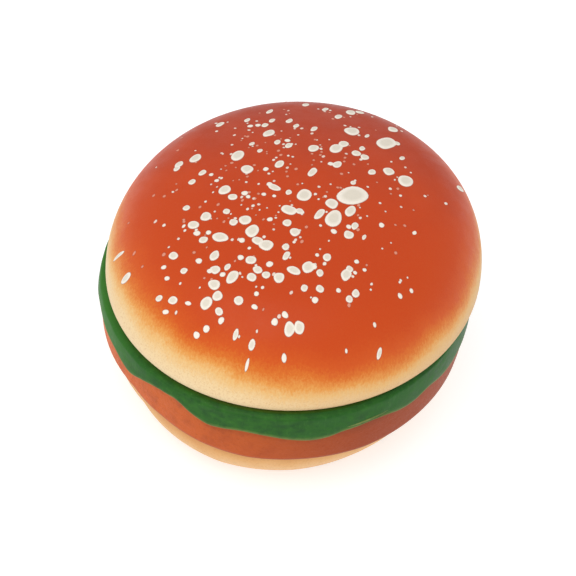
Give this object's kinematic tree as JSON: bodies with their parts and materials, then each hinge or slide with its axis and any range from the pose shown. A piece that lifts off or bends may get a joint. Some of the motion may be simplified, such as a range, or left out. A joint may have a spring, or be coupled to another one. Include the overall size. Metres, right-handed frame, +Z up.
{
  "type": "novelty shaped telephone",
  "caption": "Corded telephone shaped as a hamburger: the top bun is a hinged lid with the earpiece over a base with keypad, mouthpiece and line socket.",
  "frame": {"origin": "middle of the footprint, on the surface the feet stand on", "axes": "+Z up; -Y is the front, where the lid opens; +Y is the rear with the hinge and the line socket; +X is to the right as the user faces the front"},
  "size_m": [0.123, 0.1392, 0.075],
  "materials": {
    "bun_crust": "satin",
    "lettuce_green": "matte",
    "patty_brown": "satin",
    "bun_pale": "satin",
    "cream_panel": "satin",
    "key_brown": "satin",
    "silicone": "matte",
    "black_plastic": "satin",
    "circuit_board": "satin",
    "dark_parts": "matte",
    "resistor_body": "satin",
    "transformer_core": "matte",
    "steel": "satin",
    "gold_contact": "polished",
    "rubber": "matte",
    "foam": "matte",
    "lead_sleeve": "satin",
    "knob_white": "satin"
  },
  "bodies": {
    "base": {"bottom_bun_shell": "bun_pale", "patty_ring": "patty_brown", "lettuce_collar": "lettuce_green", "lettuce_skirt": "lettuce_green", "keypad_deck": "cream_panel", "hinge_pin": "steel", "lid_bumpers": "rubber", "rubber_feet": "rubber", "base_screws": "steel", "key_mat": "silicone", "main_board": "circuit_board", "board_screws": "steel", "dialler_chip": "dark_parts", "capacitors": "dark_parts", "line_transformer": "transformer_core", "resistors": "resistor_body", "hook_switch_body": "black_plastic", "hook_spring": "steel", "microphone_capsule": "steel", "microphone_boot": "foam", "ringer_sounder": "black_plastic", "ballast_plate": "steel", "ballast_washers": "steel", "ballast_screws": "steel", "jack_housing": "black_plastic", "jack_contacts": "gold_contact", "jack_lead": "lead_sleeve", "ringer_switch_body": "black_plastic", "tone_switch_body": "black_plastic", "receiver_lead_base": "lead_sleeve"},
    "lid": {"top_bun_shell": "bun_crust", "lid_panel": "cream_panel", "lid_panel_screws": "steel", "earpiece_cap": "cream_panel", "receiver_gasket": "foam", "receiver_capsule": "dark_parts", "receiver_clamp": "steel", "receiver_clamp_screws": "steel", "receiver_lead_lid": "lead_sleeve"},
    "hook": {"hook_plunger": "knob_white"},
    "ringer_selector": {"ringer_switch_knob": "knob_white"},
    "tone_selector": {"tone_switch_knob": "knob_white"},
    "key_1_button": {"key_1": "key_brown"},
    "key_2_button": {"key_2": "key_brown"},
    "key_3_button": {"key_3": "key_brown"},
    "key_4_button": {"key_4": "key_brown"},
    "key_5_button": {"key_5": "key_brown"},
    "key_6_button": {"key_6": "key_brown"},
    "key_7_button": {"key_7": "key_brown"},
    "key_8_button": {"key_8": "key_brown"},
    "key_9_button": {"key_9": "key_brown"},
    "key_star_button": {"key_star": "key_brown"},
    "key_0_button": {"key_0": "key_brown"},
    "key_hash_button": {"key_hash": "key_brown"},
    "key_redial_button": {"key_redial": "key_brown"},
    "key_mute_button": {"key_mute": "key_brown"}
  },
  "joints": [
    {"name": "lid_hinge", "type": "hinge", "parent": "base", "child": "lid", "pos_m": [0, 0.0666, 0.0389], "axis": [-1, 0, 0], "range_deg": [0, 130]},
    {"name": "hook_slide", "type": "slide", "parent": "base", "child": "hook", "axis": [0, 0, 1], "range_m": [0, 0.0026], "deforming": ["hook_spring"]},
    {"name": "ringer_selector_slide", "type": "slide", "parent": "base", "child": "ringer_selector", "axis": [0, 1, 0], "range_m": [0, 0.004]},
    {"name": "tone_selector_slide", "type": "slide", "parent": "base", "child": "tone_selector", "axis": [0, 1, 0], "range_m": [0, 0.004]},
    {"name": "key_1_press", "type": "slide", "parent": "base", "child": "key_1_button", "axis": [0, 0, -1], "range_m": [0, 0.0014], "stiffness_N_per_m": 300, "springref_m": -0.0008, "deforming": ["key_mat"]},
    {"name": "key_2_press", "type": "slide", "parent": "base", "child": "key_2_button", "axis": [0, 0, -1], "range_m": [0, 0.0014], "stiffness_N_per_m": 300, "springref_m": -0.0008, "deforming": ["key_mat"]},
    {"name": "key_3_press", "type": "slide", "parent": "base", "child": "key_3_button", "axis": [0, 0, -1], "range_m": [0, 0.0014], "stiffness_N_per_m": 300, "springref_m": -0.0008, "deforming": ["key_mat"]},
    {"name": "key_4_press", "type": "slide", "parent": "base", "child": "key_4_button", "axis": [0, 0, -1], "range_m": [0, 0.0014], "stiffness_N_per_m": 300, "springref_m": -0.0008, "deforming": ["key_mat"]},
    {"name": "key_5_press", "type": "slide", "parent": "base", "child": "key_5_button", "axis": [0, 0, -1], "range_m": [0, 0.0014], "stiffness_N_per_m": 300, "springref_m": -0.0008, "deforming": ["key_mat"]},
    {"name": "key_6_press", "type": "slide", "parent": "base", "child": "key_6_button", "axis": [0, 0, -1], "range_m": [0, 0.0014], "stiffness_N_per_m": 300, "springref_m": -0.0008, "deforming": ["key_mat"]},
    {"name": "key_7_press", "type": "slide", "parent": "base", "child": "key_7_button", "axis": [0, 0, -1], "range_m": [0, 0.0014], "stiffness_N_per_m": 300, "springref_m": -0.0008, "deforming": ["key_mat"]},
    {"name": "key_8_press", "type": "slide", "parent": "base", "child": "key_8_button", "axis": [0, 0, -1], "range_m": [0, 0.0014], "stiffness_N_per_m": 300, "springref_m": -0.0008, "deforming": ["key_mat"]},
    {"name": "key_9_press", "type": "slide", "parent": "base", "child": "key_9_button", "axis": [0, 0, -1], "range_m": [0, 0.0014], "stiffness_N_per_m": 300, "springref_m": -0.0008, "deforming": ["key_mat"]},
    {"name": "key_star_press", "type": "slide", "parent": "base", "child": "key_star_button", "axis": [0, 0, -1], "range_m": [0, 0.0014], "stiffness_N_per_m": 300, "springref_m": -0.0008, "deforming": ["key_mat"]},
    {"name": "key_0_press", "type": "slide", "parent": "base", "child": "key_0_button", "axis": [0, 0, -1], "range_m": [0, 0.0014], "stiffness_N_per_m": 300, "springref_m": -0.0008, "deforming": ["key_mat"]},
    {"name": "key_hash_press", "type": "slide", "parent": "base", "child": "key_hash_button", "axis": [0, 0, -1], "range_m": [0, 0.0014], "stiffness_N_per_m": 300, "springref_m": -0.0008, "deforming": ["key_mat"]},
    {"name": "key_redial_press", "type": "slide", "parent": "base", "child": "key_redial_button", "axis": [0, 0, -1], "range_m": [0, 0.0014], "stiffness_N_per_m": 300, "springref_m": -0.0008, "deforming": ["key_mat"]},
    {"name": "key_mute_press", "type": "slide", "parent": "base", "child": "key_mute_button", "axis": [0, 0, -1], "range_m": [0, 0.0014], "stiffness_N_per_m": 300, "springref_m": -0.0008, "deforming": ["key_mat"]}
  ],
  "couplings": [
    {"joint": "hook_slide", "follows": "lid_hinge", "m_per_rad": 0.001145}
  ]
}
